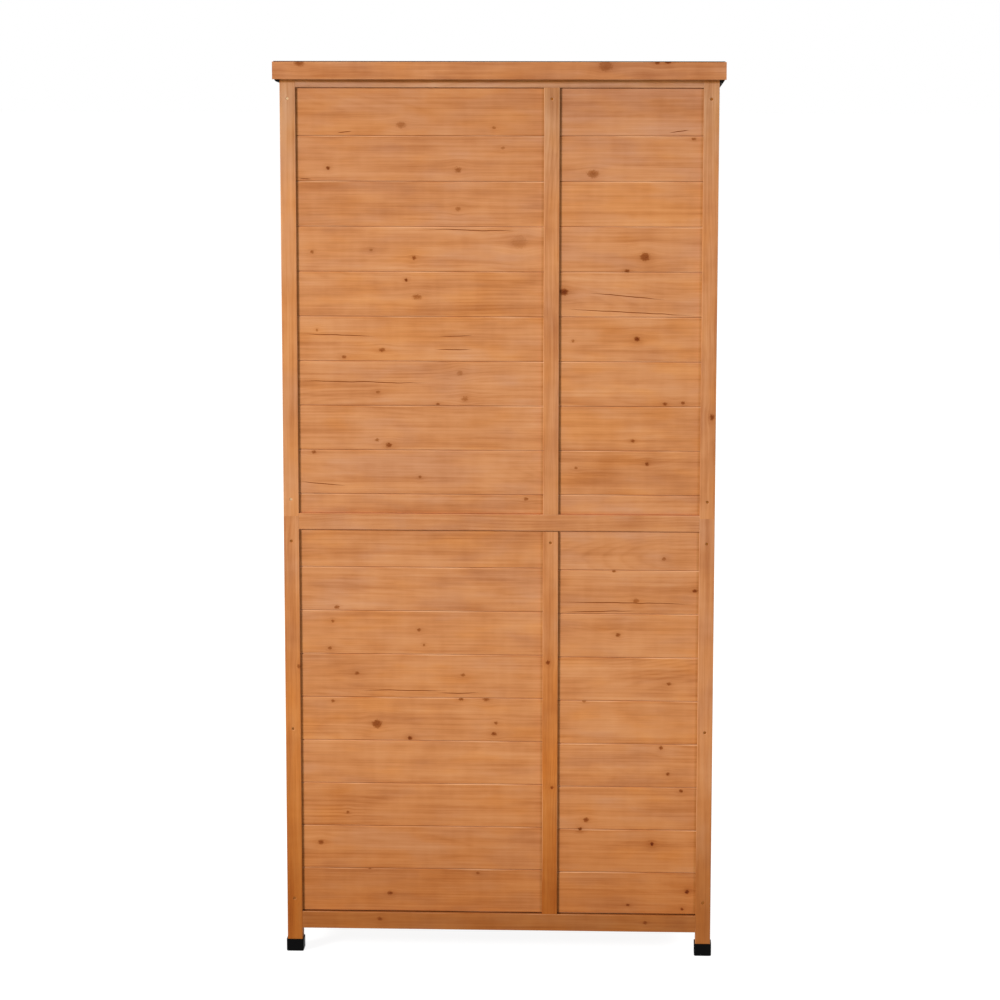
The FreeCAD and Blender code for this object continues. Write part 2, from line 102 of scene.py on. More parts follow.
# Knots on the back where the photograph shows them: pixel across, pixel down, radius in mm, darkness
BACK_KNOTS = (
    (401, 125, 6.5, 0.45), (494, 128, 3.2, 0.5), (503, 148, 3.0, 0.4), (328, 168, 3.6, 1.2),
    (458, 170, 6.0, 0.6), (458, 209, 5.0, 0.45), (519, 242, 12.0, 0.2), (414, 258, 4.2, 0.8),
    (371, 250, 3.0, 0.5), (312, 252, 3.5, 0.6), (406, 280, 3.2, 1.2), (417, 297, 5.5, 0.6),
    (317, 330, 3.0, 0.5), (344, 357, 4.0, 0.7), (382, 350, 4.5, 0.7), (460, 373, 5.5, 0.35),
    (465, 399, 5.5, 0.5), (378, 392, 3.0, 0.5), (438, 404, 2.5, 0.8), (389, 445, 5.5, 0.9),
    (377, 440, 3.5, 0.6), (314, 452, 3.5, 0.7), (420, 477, 3.0, 0.6), (526, 499, 3.5, 0.7),
    (593, 174, 7.0, 0.6), (694, 139, 3.0, 0.7), (645, 257, 7.5, 0.85), (627, 271, 3.5, 0.9),
    (564, 292, 6.5, 1.2), (637, 339, 5.0, 1.2), (573, 341, 3.2, 0.6), (665, 404, 3.5, 0.8),
    (683, 403, 3.5, 0.8), (633, 441, 3.5, 0.8), (647, 464, 4.0, 0.9), (576, 468, 3.0, 0.6),
    (337, 607, 4.0, 0.8), (333, 621, 3.5, 0.6), (419, 630, 3.5, 0.7), (424, 645, 3.0, 0.6),
    (330, 648, 3.5, 0.7), (357, 673, 4.0, 0.7), (463, 675, 3.5, 0.6), (461, 699, 4.0, 0.8),
    (486, 699, 5.5, 0.7), (333, 701, 3.5, 0.7), (377, 724, 7.5, 0.9), (496, 723, 3.5, 0.7),
    (494, 734, 4.5, 0.8), (410, 738, 4.2, 1.2), (474, 738, 3.8, 0.9), (358, 738, 3.6, 0.7),
    (348, 812, 3.5, 0.7), (321, 842, 5.0, 0.8), (390, 893, 4.5, 0.8), (370, 868, 3.0, 0.7),
    (478, 873, 3.0, 0.6), (614, 571, 3.2, 0.9), (664, 559, 4.0, 0.6), (695, 591, 3.5, 1.2),
    (636, 601, 5.5, 0.5), (618, 635, 4.5, 0.8), (584, 701, 3.5, 0.7), (669, 684, 3.5, 0.7),
    (661, 748, 4.2, 0.9), (668, 774, 3.8, 0.8), (681, 791, 3.5, 0.9), (586, 820, 5.0, 0.9),
    (580, 829, 3.8, 1.2), (652, 844, 4.2, 1.2), (687, 892, 4.2, 1.2), (682, 909, 3.5, 0.9),
    (628, 905, 2.6, 0.9), (548, 662, 4.5, 0.9), (552, 787, 4.0, 0.8), (299, 666, 3.5, 0.7),
    (712, 417, 5.0, 0.9), (300, 63, 6.0, 0.8), (606, 66, 9.0, 0.45), (657, 62, 4.5, 0.9),
    (668, 62, 4.0, 1.2), (380, 918, 4.5, 0.6), (645, 922, 3.5, 0.7),
)

# Drying cracks on the back where the photograph shows them: pixel across and down of each end
BACK_CRACKS = (
    (438, 336, 473, 336), (435, 349, 472, 350), (300, 381, 430, 383), (300, 334, 376, 336),
    (300, 481, 346, 486), (562, 309, 699, 316), (590, 293, 666, 300), (559, 602, 697, 604),
    (299, 179, 312, 179), (669, 133, 690, 130), (337, 133, 352, 131), (360, 690, 450, 691),
    (436, 693, 480, 693), (560, 612, 640, 611), (420, 229, 520, 231),
)

# How many knots and cracks one board has room for, and what a place without one holds
KNOT_PLACES = 7
CRACK_PLACES = 3
NO_FLAW = (-100.0, 0.0, 1.0, 0.0)
# Radii over which a knot gets a dark rim, and how strongly the grain bends round it
RIMMED_KNOT = (4.0 * MM, 8.0 * MM)
GRAIN_BEND = 0.55
# How far a crack strays from a straight line, half its width at its ends, and what its middle adds
CRACK_STRAY = 6.0 * MM
CRACK_END = 0.02 * MM
CRACK_MIDDLE = 0.9 * MM


def stain(red, green, blue):
    """A colour written as it looks on screen, from 0 to 255, as linear light."""
    linear = []
    for level in (red, green, blue):
        share = level / 255
        linear.append(share / 12.92 if share <= 0.04045 else ((share + 0.055) / 1.055) ** 2.4)
    return (*linear, 1.0)


class Value:
    """One output of a node, which adds Math nodes when it is used in a sum."""

    def __init__(self, finish, socket):
        self.finish = finish
        self.socket = socket

    def math(self, operation, *values):
        return self.finish.node("ShaderNodeMath", {"operation": operation}, dict(enumerate(values)))

    def __add__(self, other):
        return self.math("ADD", self, other)

    def __sub__(self, other):
        return self.math("SUBTRACT", self, other)

    def __rsub__(self, other):
        return self.math("SUBTRACT", other, self)

    def __mul__(self, other):
        return self.math("MULTIPLY", self, other)

    def __truediv__(self, other):
        return self.math("DIVIDE", self, other)

    __radd__ = __add__
    __rmul__ = __mul__

    def __abs__(self):
        return self.math("ABSOLUTE", self)

    def fraction(self):
        return self.math("FRACT", self)

    def root(self):
        return self.math("SQRT", self)

    def largest(self, other):
        return self.math("MAXIMUM", self, other)

    def bell(self, width):
        """1 where the value is 0, and falling to nothing past a few widths."""
        share = self / width
        return self.math("EXPONENT", share * share * -1.0)


class Finish:
    """A material and the nodes that it is made of."""

    def __init__(self, name):
        self.material = bpy.data.materials.new(name)
        self.material.use_nodes = True
        self.tree = self.material.node_tree
        self.shader = self.tree.nodes["Principled BSDF"]

    def node(self, kind, settings, inputs, out=0):
        """Adds one node: its settings first, then the value or link of each socket."""
        made = self.tree.nodes.new(kind)
        for name, value in settings.items():
            if name == "stops":
                ramp = made.color_ramp
                while len(ramp.elements) < len(value):
                    ramp.elements.new(1.0)
                for element, (position, level) in zip(ramp.elements, value):
                    element.position = position
                    element.color = (level, level, level, 1.0)
            else:
                setattr(made, name, value)
        for key, value in inputs.items():
            if isinstance(value, Value):
                self.tree.links.new(value.socket, made.inputs[key])
            else:
                made.inputs[key].default_value = value
        return Value(self, made.outputs[out])

    def attribute(self, name, out="Vector"):
        return self.node("ShaderNodeAttribute", {"attribute_name": name}, {}, out)

    def place(self):
        return self.node("ShaderNodeTexCoord", {}, {}, "Object")

    def split(self, vector):
        parts = self.tree.nodes.new("ShaderNodeSeparateXYZ")
        self.tree.links.new(vector.socket, parts.inputs[0])
        return [Value(self, output) for output in parts.outputs]

    def together(self, x, y, z):
        return self.node("ShaderNodeCombineXYZ", {}, {0: x, 1: y, 2: z})

    def noise(self, vector, scales, detail=2.0, roughness=0.5):
        """Cloudy noise about 0, with its own scale along each axis."""
        scaled = self.node("ShaderNodeVectorMath", {"operation": "MULTIPLY"}, {0: vector, 1: scales})
        sockets = {"Vector": scaled, "Scale": 1.0, "Detail": detail, "Roughness": roughness}
        return self.node("ShaderNodeTexNoise", {}, sockets, "Fac") - 0.5

    def smooth(self, value, start, end):
        """0 before start, 1 past end, and a smooth rise between them."""
        sockets = {"Value": value, "From Min": start, "From Max": end, "To Min": 0.0, "To Max": 1.0}
        return self.node("ShaderNodeMapRange", {"interpolation_type": "SMOOTHSTEP"}, sockets)

    def blend(self, share, first, second, how="MIX"):
        """One colour turning into another, or multiplied by it."""
        settings = {"data_type": "RGBA", "clamp_factor": True, "blend_type": how}
        return self.node("ShaderNodeMix", settings, {0: share, 6: first, 7: second}, 2)

    def finish_with(self, colour, roughness, surface, depth, **constants):
        """Joins the shader. What varies is linked, and what is the same all over is set."""
        for name, value in (("Base Color", colour), ("Roughness", roughness)):
            if isinstance(value, Value):
                self.tree.links.new(value.socket, self.shader.inputs[name])
            else:
                self.shader.inputs[name].default_value = value
        bump = self.node("ShaderNodeBump", {}, {"Strength": 1.0, "Distance": depth, "Height": surface})
        self.tree.links.new(bump.socket, self.shader.inputs["Normal"])
        for name, value in constants.items():
            self.shader.inputs[name.replace("_", " ")].default_value = value
        return self.material


class Flaws:
    """Knots and cracks of one board, read from its layers."""

    def __init__(self, finish, grain):
        along, across, depth = finish.split(grain)
        ragged = finish.noise(grain, (260.0, 420.0, 420.0), 3.0, 0.6)
        skin = finish.smooth(abs(finish.attribute("skin", "Fac")), 0.2, 0.9)
        self.core = 0.0
        self.ring = 0.0
        self.halo = 0.0
        bend = 0.0
        for index in range(KNOT_PLACES):
            name = "knot_%d" % index
            knot = finish.attribute(name)
            knot_along, knot_across, radius = finish.split(knot)
            darkness = finish.attribute(name, "Alpha") * skin
            stretch = finish.noise(knot, (1700.0, 1700.0, 0.0), 0.0) * 1.1 + 0.82
            off_along = along - knot_along
            off_across = across - knot_across
            flat_along = off_along * stretch
            reach = (flat_along * flat_along + off_across * off_across).root() / radius
            torn = reach + ragged * 1.5
            bend = off_across * reach.bell(2.8) + bend
            self.core = ((1 - finish.smooth(torn, 0.4, 1.2)) * darkness).largest(self.core)
            rim = (torn - 0.75).bell(0.3) * darkness * finish.smooth(radius, *RIMMED_KNOT)
            self.ring = rim.largest(self.ring)
            tail = (off_across / radius + ragged * 2.0).bell(0.9) * (off_along / radius).bell(7.0)
            self.halo = ((torn.bell(2.2) * 0.7 + tail * 0.3) * darkness).largest(self.halo)
        self.crack = 0.0
        for index in range(CRACK_PLACES):
            name = "crack_%d" % index
            crack_along, crack_across, half_length = finish.split(finish.attribute(name))
            slope = finish.attribute(name, "Alpha")
            share = (along - crack_along) / half_length
            taper = 1 - share * share
            wobble = finish.noise(grain, (14.0, 0.0, 0.0)) * CRACK_STRAY
            off_line = abs(across - crack_across - (along - crack_along) * slope + wobble)
            half_width = finish.smooth(taper, 0.0, 1.0) * CRACK_MIDDLE + CRACK_END
            line = (1 - finish.smooth(off_line / half_width, 0.4, 1.1)) * finish.smooth(taper, 0.0, 0.1)
            self.crack = (line * skin).largest(self.crack)
        self.flow = finish.together(along, across - bend * GRAIN_BEND, depth)


# Heights over which the colour changes, from none to full: the second coat of stain, the painted shade near
# the ground, and the painted light and shade near the eaves
SECOND_COAT = (1.0, 0.3)
GROUND_SHADE_HEIGHTS = (0.45, 0.05)
EAVES_SHADE_HEIGHTS = (1.45, 1.72)
# The same for painted shade: distance from a board's ends, where posts and strips shade the boards, and
# height close under the fascia, where its shadow falls
END_SHADE_REACH = (13.5 * MM, 8.5 * MM)
FASCIA_SHADOW_HEIGHTS = (back_fascia_bottom - 8.0 * MM, back_fascia_bottom - 4.0 * MM)
# Heights at the fascia's lower edge, above which neither the painted light and shade of the eaves nor the
# painted shadow colour of the fascia is laid
UNDER_FASCIA = (back_fascia_bottom + 2.0 * MM, back_fascia_bottom - 2.0 * MM)
# What multiplies the colour of the wood in each place, and how often it does so in knots and cracks. At the
# boards' ends it is painted shade, and under the fascia the painted colour of the fascia's shadow
SECOND_COAT_TINT = (1.02, 0.84, 0.45, 1.0)
ROSY_TINT = (0.95, 0.985, 1.14, 1.0)
YELLOW_TINT = (1.04, 0.995, 0.84, 1.0)
END_SHADE_TINT = (0.82, 0.84, 0.72, 1.0)
FASCIA_SHADOW_TINT = (1.10, 0.92, 0.50, 1.0)
FLAW_TINT = (0.67, 0.51, 0.29, 1.0)
FLAW_COATS = 3
# Bare wood, which shows on worn edges, and the painted highlight that those edges catch
BARE_WOOD_AND_HIGHLIGHT = (240, 186, 138)
# Growth rings: their width, and how far they drift and waver
RING_WIDTH = 5.4 * MM
RING_DRIFT = 100.0 * MM
RING_WAVER = 3.4 * MM
# How deep the surface of each finish goes
WOOD_RELIEF = 0.16 * MM
FELT_RELIEF = 0.4 * MM
PLASTIC_RELIEF = 0.06 * MM
ZINC_RELIEF = 0.03 * MM
YELLOW_RELIEF = 0.05 * MM
# Stain of the frame and of the boards: pale, middle and deep tone, how much bare wood and painted highlight
# shows on the edges, the painted shade that multiplies the colour near the ground, and the painted light and
# shade under the eaves
FRAME_STAIN_AND_SHADE = {
    "tones": ((228, 166, 118), (207, 138, 86), (165, 92, 44)),
    "wear_and_highlight_share": 0.45,
    "ground_shade_tint": (0.67, 0.55, 0.35),
    "eaves_shade_tint": (0.94, 1.11, 1.40),
}
BOARD_STAIN_AND_SHADE = {
    "tones": ((229, 166, 116), (209, 139, 86), (168, 96, 46)),
    "wear_and_highlight_share": 0.75,
    "ground_shade_tint": (0.83, 0.71, 0.52),
    "eaves_shade_tint": (0.89, 0.87, 0.90),
}
# Dark and light clouds of the yellow plate: a copy with a painted glint, for the screws that catch the lamp,
# and a copy with painted shade for the rest
GLINTING_PLATE = ((205, 170, 125), (236, 202, 158))
SHADED_PLATE = ((130, 72, 24), (185, 120, 56))


def stained_wood(name, tones, wear_and_highlight_share, ground_shade_tint, eaves_shade_tint):
    """Softwood under an orange-brown stain, with growth rings cut from a log, knots and cracks, and painted
    shade near the ground, under the eaves and the fascia, and at the boards' ends.
    """
    finish = Finish(name)
    grain = finish.attribute("grain")
    lightness, rosiness, ring_strength = finish.split(finish.attribute("tone"))
    flaws = Flaws(finish, grain)
    flow = flaws.flow
    _, across, depth = finish.split(flow)

    wander = finish.noise(grain, (1.6, 5.0, 5.0), 1.0) * RING_DRIFT
    waver = finish.noise(grain, (9.0, 70.0, 70.0)) * RING_WAVER
    ring = ((across * across + depth * depth).root() + wander + waver) / RING_WIDTH
    stops = [(0.0, 0.25), (0.14, 0.0), (0.5, 0.15), (0.84, 1.0), (1.0, 0.3)]
    late_wood = finish.node("ShaderNodeValToRGB", {"stops": stops}, {0: ring.fraction()})
    ring_patches = finish.smooth(finish.noise(grain, (3.0, 20.0, 20.0), 2.0, 0.6), -0.12, 0.14)
    rings = late_wood * ring_strength * ring_patches

    bands = finish.noise(flow, (2.6, 44.0, 44.0), 2.0)
    streaks = finish.noise(flow, (4.5, 200.0, 200.0), 3.0, 0.6)
    lines = finish.noise(flow, (2.2, 420.0, 420.0), 2.0)
    fibre = finish.noise(flow, (40.0, 900.0, 900.0), 2.0)
    blotch = finish.noise(grain, (13.0, 22.0, 22.0), 2.0)
    ripple = finish.noise(grain, (62.0, 9.0, 9.0), 1.0)
    shade = lightness + 0.54 + bands * 0.72 + streaks * 0.7 + lines * 0.32 + fibre * 0.22 + blotch * 0.62
    shade = shade + ripple * 0.14 - rings * 0.17 - flaws.halo * 0.26
    pale, middle, deep = [stain(*tone) for tone in tones]
    colour = finish.blend(finish.smooth(shade, -0.25, 0.65), deep, middle)
    colour = finish.blend(finish.smooth(shade, 0.35, 1.25), colour, pale)

    hue = finish.noise(grain, (9.0, 26.0, 26.0), 2.0) * 1.9 + rosiness
    colour = finish.blend(finish.smooth(hue, 0.0, 0.5), colour, ROSY_TINT, "MULTIPLY")
    colour = finish.blend(finish.smooth(hue, 0.0, -0.5), colour, YELLOW_TINT, "MULTIPLY")
    height = finish.split(finish.place())[2]
    coat = finish.attribute("coat", "Fac") * finish.smooth(height, *SECOND_COAT)
    colour = finish.blend(coat, colour, SECOND_COAT_TINT, "MULTIPLY")
    # Painted shade: the wood darkens towards the ground, where less light falls
    colour = finish.blend(finish.smooth(height, *GROUND_SHADE_HEIGHTS), colour, (*ground_shade_tint, 1.0), "MULTIPLY")
    ends = finish.split(finish.attribute("ends"))
    # Painted colour of the fascia's shadow, in a band just under the fascia
    under = finish.smooth(height, *FASCIA_SHADOW_HEIGHTS) * finish.smooth(height, *UNDER_FASCIA)
    # Painted shade at the boards' ends, beside the posts and strips that stand proud of them
    painted_end_shade = finish.smooth(ends[0], *END_SHADE_REACH).largest(finish.smooth(ends[1], *END_SHADE_REACH))
    colour = finish.blend(painted_end_shade, colour, END_SHADE_TINT, "MULTIPLY")
    colour = finish.blend(under, colour, FASCIA_SHADOW_TINT, "MULTIPLY")
    # Painted light and shade under the eaves, where the overhang changes the light: darker boards and a
    # pinker frame
    eaves = finish.smooth(height, *EAVES_SHADE_HEIGHTS) * finish.smooth(height, *UNDER_FASCIA)
    colour = finish.blend(eaves, colour, (*eaves_shade_tint, 1.0), "MULTIPLY")

    # Bare wood on worn edges, which also paints a highlight along them
    wear_and_highlight = finish.attribute("worn", "Fac") * finish.smooth(finish.noise(grain, (5.0, 0.0, 0.0)), -0.10, 0.16)
    colour = finish.blend(wear_and_highlight * wear_and_highlight_share, colour, stain(*BARE_WOOD_AND_HIGHLIGHT))
    flecks = finish.noise(grain, (330.0, 480.0, 480.0), 2.0) * 0.9 + 0.72
    mark = (flaws.core * flecks).largest(flaws.ring * 0.7).largest(flaws.crack * 0.95)
    for _ in range(FLAW_COATS):
        colour = finish.blend(mark, colour, FLAW_TINT, "MULTIPLY")
    roughness = fibre * 0.16 + 0.58 - flaws.core * 0.08
    surface = fibre * 0.4 + streaks * 0.25 - rings * 0.2 - flaws.crack * 2.0 - flaws.core * 0.4
    return finish.finish_with(colour, roughness, surface, WOOD_RELIEF, Specular_IOR_Level=0.12)


def mineral_felt(name):
    """Bitumen felt faced with fine black and grey grit."""
    finish = Finish(name)
    place = finish.place()
    grit = finish.node("ShaderNodeTexVoronoi", {}, {"Vector": place, "Scale": 900.0}, "Color")
    speck = finish.node("ShaderNodeSeparateColor", {}, {0: grit})
    patches = finish.noise(place, (14.0, 14.0, 14.0), 3.0)
    shade = speck * 0.75 + patches * 0.4
    colour = finish.blend(shade, stain(14, 13, 13), stain(50, 49, 48))
    fine = finish.noise(place, (1500.0, 1500.0, 1500.0), 1.0)
    return finish.finish_with(colour, 0.95, speck * 0.8 + fine, FELT_RELIEF, Specular_IOR_Level=0.15)


def black_plastic(name):
    """Moulded black plastic with a fine satin grain and scuffs."""
    finish = Finish(name)
    place = finish.place()
    grain = finish.noise(place, (2200.0, 2200.0, 2200.0), 1.0)
    scuffs = finish.smooth(finish.noise(place, (90.0, 90.0, 400.0), 4.0, 0.7), 0.05, 0.25)
    colour = finish.blend(scuffs * 0.35, stain(4, 4, 4), stain(16, 15, 15))
    roughness = scuffs * 0.15 + 0.45
    surface = grain + scuffs * 0.5
    return finish.finish_with(colour, roughness, surface, PLASTIC_RELIEF, Specular_IOR_Level=0.05)


def zinc_plate(name):
    """Bright zinc plate over pressed steel, slightly clouded."""
    finish = Finish(name)
    place = finish.place()
    clouds = finish.noise(place, (120.0, 120.0, 120.0), 3.0, 0.6)
    scratches = finish.noise(place, (60.0, 60.0, 2600.0), 2.0)
    colour = finish.blend(clouds + 0.5, stain(136, 137, 138), stain(182, 182, 178))
    roughness = clouds * 0.16 + scratches * 0.12 + 0.34
    return finish.finish_with(colour, roughness, scratches, ZINC_RELIEF, Metallic=1.0)


def yellow_plate(name, dark, light):
    """Yellow plate of the wood screws, clouded between two colours."""
    finish = Finish(name)
    place = finish.place()
    clouds = finish.noise(place, (500.0, 500.0, 500.0), 3.0, 0.6)
    colour = finish.blend(clouds + 0.5, stain(*dark), stain(*light))
    return finish.finish_with(colour, clouds * 0.2 + 0.5, clouds, YELLOW_RELIEF, Metallic=1.0)


finishes = {
    "stained_frame": stained_wood("stained_frame", **FRAME_STAIN_AND_SHADE),
    "stained_boards": stained_wood("stained_boards", **BOARD_STAIN_AND_SHADE),
    "roofing_felt": mineral_felt("roofing_felt"),
    "black_plastic": black_plastic("black_plastic"),
    "zinc_steel": zinc_plate("zinc_steel"),
    "clean_yellow_plate": yellow_plate("clean_yellow_plate", *GLINTING_PLATE),
    "stained_yellow_plate": yellow_plate("stained_yellow_plate", *SHADED_PLATE),
}

# Meshes made from the CAD nodes: how near two points are one, how far an edge turns that is rounded or
# dissolved, and how closely an edge has to follow an axis to run along it
WELD = 0.004 * MM
SHARP_TURN = math.radians(40)
ALMOST_FLAT = math.radians(0.5)
ALONG_AXIS = 0.999


def closed_runs(whole):
    """Groups of faces, one for each solid. A solid ends when each of its edges was met from both sides."""
    same = bmesh.ops.find_doubles(whole, verts=whole.verts, dist=WELD)["targetmap"]
    whole.verts.index_update()
    unmatched = set()
    runs = [set()]
    for face in whole.faces:
        corners = [same.get(vert, vert).index for vert in face.verts]
        for edge in zip(corners, corners[1:] + corners[:1]):
            if edge[::-1] in unmatched:
                unmatched.remove(edge[::-1])
            else:
                unmatched.add(edge)
        runs[-1].add(face.index)
        if not unmatched:
            runs.append(set())
    return runs[:-1]


def solids_of(node):
    """The separate solids of a node, each as a merged mesh with flat faces made whole."""
    whole = bmesh.new()
    whole.from_mesh(frame["nodes"][node].data)
    whole.faces.index_update()
    solids = []
    for run in closed_runs(whole):
        solid = whole.copy()
        unwanted = [face for index, face in enumerate(solid.faces) if index not in run]
        bmesh.ops.delete(solid, geom=unwanted, context="FACES")
        bmesh.ops.remove_doubles(solid, verts=solid.verts, dist=WELD)
        bmesh.ops.dissolve_limit(solid, angle_limit=ALMOST_FLAT, verts=solid.verts, edges=solid.edges)
        solids.append(solid)
    whole.free()
    return solids


def box_of(solid):
    """Lowest and highest corner of a mesh."""
    places = [vert.co for vert in solid.verts]
    low = Vector([min(place[axis] for place in places) for axis in range(3)])
    high = Vector([max(place[axis] for place in places) for axis in range(3)])
    return low, high


def ease_edges(solid, width, segments, axis=None, least_turn=SHARP_TURN):
    """Rounds the outer edges of a solid: all of them, or those that run along one axis."""
    edges = []
    for edge in solid.edges:
        if len(edge.link_faces) != 2 or not edge.is_convex or edge.calc_face_angle(0) < least_turn:
            continue
        run = (edge.verts[1].co - edge.verts[0].co).normalized()
        if axis is None or abs(run[axis]) > ALONG_AXIS:
            edges.append(edge)
    bmesh.ops.bevel(solid, geom=edges, offset=width, offset_type="OFFSET", segments=segments, profile=0.5,
                    affect="EDGES", material=-1, clamp_overlap=True)


def to_object(made, name):
    """A mesh object made of a bmesh, which is freed."""
    mesh = bpy.data.meshes.new(name)
    made.to_mesh(mesh)
    made.free()
    return bpy.data.objects.new(name, mesh)


def drop_object(thing):
    """Removes an object that only carried a mesh."""
    mesh = thing.data
    bpy.data.objects.remove(thing)
    bpy.data.meshes.remove(mesh)


def join(meshes):
    """Several meshes as one, with their layers."""
    joined = bmesh.new()
    for part in meshes:
        carrier = to_object(part, "carrier")
        joined.from_mesh(carrier.data)
        drop_object(carrier)
    return joined


def cut_away(solid, cutters):
    """A solid with the space of the cutters taken out of it."""
    kept = to_object(solid, "kept")
    tool = to_object(join(cutters), "tool")
    for thing in (kept, tool):
        bpy.context.scene.collection.objects.link(thing)
    cut = kept.modifiers.new("cut", "BOOLEAN")
    cut.operation = "DIFFERENCE"
    cut.solver = "EXACT"
    cut.object = tool
    finished = bmesh.new()
    finished.from_object(kept, bpy.context.evaluated_depsgraph_get())
    drop_object(kept)
    drop_object(tool)
    return finished


def add_piece(name, made, body, slot, replaced=None, rounded=False, finish=None):
    """Turns a finished mesh into a piece that rides on a body."""
    piece = to_object(made, name)
    if rounded:
        piece.data.shade_smooth()
        piece.data.set_sharp_from_angle(angle=SHARP_TURN)
        flatten = piece.modifiers.new("large_faces_stay_flat", "WEIGHTED_NORMAL")
        flatten.keep_sharp = True
    piece.data.materials.append(finishes[finish or slot])
    bpy.context.scene.collection.objects.link(piece)
    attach(piece, body)
    if replaced:
        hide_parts(replaced)


# Screws: heads that stand at a point and face along a direction
OUT_OF_BACK = Vector((0, 1, 0))
OUT_OF_FRONT = Vector((0, -1, 0))
SCREW_SIDES = 20
WOOD_SCREW = 2.6 * MM
PLATE_SCREW = 2.4 * MM
SCREW_SINK = 1.1 * MM
# A head, as shares of its radius: its flat top, its recess, and how its outline grows and drops at each step
HEAD_FLAT = 0.86
RECESS_ARM = 0.56
RECESS_HALF_WIDTH = 0.13
RECESS_TAPER = 0.62
RECESS_DEPTH = 0.45
HEAD_STEPS = ((1.16, 0.16), (1.0, 0.5))
# A pocket: its radius, the shares of that at its waist and mouth, where it starts, widens and ends, and how
# near two levels are one
POCKET_RADIUS = 2.9 * MM
POCKET_WAIST = 0.92
POCKET_MOUTH = 1.25
POCKET_DEPTH = 3.6 * MM
POCKET_RIM_DEPTH = 0.7 * MM
POCKET_RISE = 0.3 * MM
SAME_LEVEL = 0.01 * MM

# Heights of the screws in the back posts. Those of the strips are level with the highest of each post
LOWER_POST_SCREWS = (0.109, 0.456, 0.834)
UPPER_POST_SCREWS = (0.917, 1.698)
STRIP_SCREWS = {"lower": LOWER_POST_SCREWS[-1], "upper": UPPER_POST_SCREWS[-1]}


def cross_head(radius):
    """A slightly domed screw head with a cross recess, its top at the origin, facing +Z."""
    head = bmesh.new()
    rim = bmesh.ops.create_circle(head, segments=SCREW_SIDES, radius=radius * HEAD_FLAT)["verts"]
    arm = radius * RECESS_ARM
    half = radius * RECESS_HALF_WIDTH
    recess = []
    for quarter in range(4):
        turn = Matrix.Rotation(quarter * math.pi / 2, 4, "Z")
        for x, y in ((half, half), (arm, half), (arm, -half)):
            recess.append(head.verts.new(turn @ Vector((x, y, 0))))
    order = [recess[(3 * (4 - quarter) + step) % 12] for quarter in range(4) for step in (2, 1, 0)]
    floor_edges = []
    for start, end in zip(order, order[1:] + order[:1]):
        floor_edges.append(head.edges.new((start, end)))
    bmesh.ops.triangle_fill(head, edges=head.edges[:], use_beauty=True, use_dissolve=False)
    sunk = bmesh.ops.extrude_edge_only(head, edges=floor_edges)["geom"]
    floor_verts = [part for part in sunk if isinstance(part, bmesh.types.BMVert)]
    bmesh.ops.scale(head, vec=(RECESS_TAPER, RECESS_TAPER, 1), verts=floor_verts)
    bmesh.ops.translate(head, vec=(0, 0, -radius * RECESS_DEPTH), verts=floor_verts)
    bottom = [part for part in sunk if isinstance(part, bmesh.types.BMEdge)]
    bmesh.ops.contextual_create(head, geom=[edge for edge in bottom if edge.is_boundary])
    edge_ring = [edge for edge in head.edges if edge.is_boundary and set(edge.verts) <= set(rim)]
    for grow, drop in HEAD_STEPS:
        made = bmesh.ops.extrude_edge_only(head, edges=edge_ring)["geom"]
        ring_verts = [part for part in made if isinstance(part, bmesh.types.BMVert)]
        bmesh.ops.scale(head, vec=(grow, grow, 1), verts=ring_verts)
        bmesh.ops.translate(head, vec=(0, 0, -radius * drop), verts=ring_verts)
        edge_ring = [part for part in made if isinstance(part, bmesh.types.BMEdge) and part.is_boundary]
    bmesh.ops.contextual_create(head, geom=edge_ring)
    bmesh.ops.recalc_face_normals(head, faces=head.faces)
    return head


def standing(made, place, facing, turn=0.0):
    """Moves a mesh that was made at the origin, facing +Z, to its place."""
    aim = facing.to_track_quat("Z", "Y").to_matrix().to_4x4()
    matrix = Matrix.Translation(place) @ aim @ Matrix.Rotation(turn, 4, "Z")
    bmesh.ops.transform(made, matrix=matrix, verts=made.verts)
    return made


def pocket(place, facing):
    """The space that a countersunk screw pocket takes out of the wood."""
    hole = bmesh.new()
    levels = (-POCKET_DEPTH, -POCKET_RIM_DEPTH, POCKET_RISE)
    radii = (POCKET_RADIUS * POCKET_WAIST, POCKET_RADIUS * POCKET_WAIST, POCKET_RADIUS * POCKET_MOUTH)
    bmesh.ops.create_circle(hole, cap_ends=True, segments=SCREW_SIDES, radius=radii[0])
    ring = hole.faces[:]
    for index in (1, 2):
        made = bmesh.ops.extrude_face_region(hole, geom=ring)["geom"]
        verts = [part for part in made if isinstance(part, bmesh.types.BMVert)]
        ring = [part for part in made if isinstance(part, bmesh.types.BMFace)]
        grow = radii[index] / radii[index - 1]
        bmesh.ops.scale(hole, vec=(grow, grow, 1), verts=verts)
        bmesh.ops.translate(hole, vec=(0, 0, levels[index] - levels[index - 1]), verts=verts)
    bmesh.ops.translate(hole, vec=(0, 0, levels[0]), verts=hole.verts)
    discs = [face for face in hole.faces if len(face.edges) == SCREW_SIDES]
    inner = [disc for disc in discs if abs(disc.calc_center_median().z - levels[1]) < SAME_LEVEL]
    bmesh.ops.delete(hole, geom=inner, context="FACES_ONLY")
    bmesh.ops.recalc_face_normals(hole, faces=hole.faces)
    return standing(hole, place, facing)


def add_screws(name, body, places, facing, radius, finish):
    """One piece that holds a group of screw heads, each turned its own way."""
    chance = random.Random(name)
    heads = [standing(cross_head(radius), place, facing, chance.uniform(0, math.pi)) for place in places]
    add_piece(name, join(heads), body, "zinc_steel", rounded=True, finish=finish)


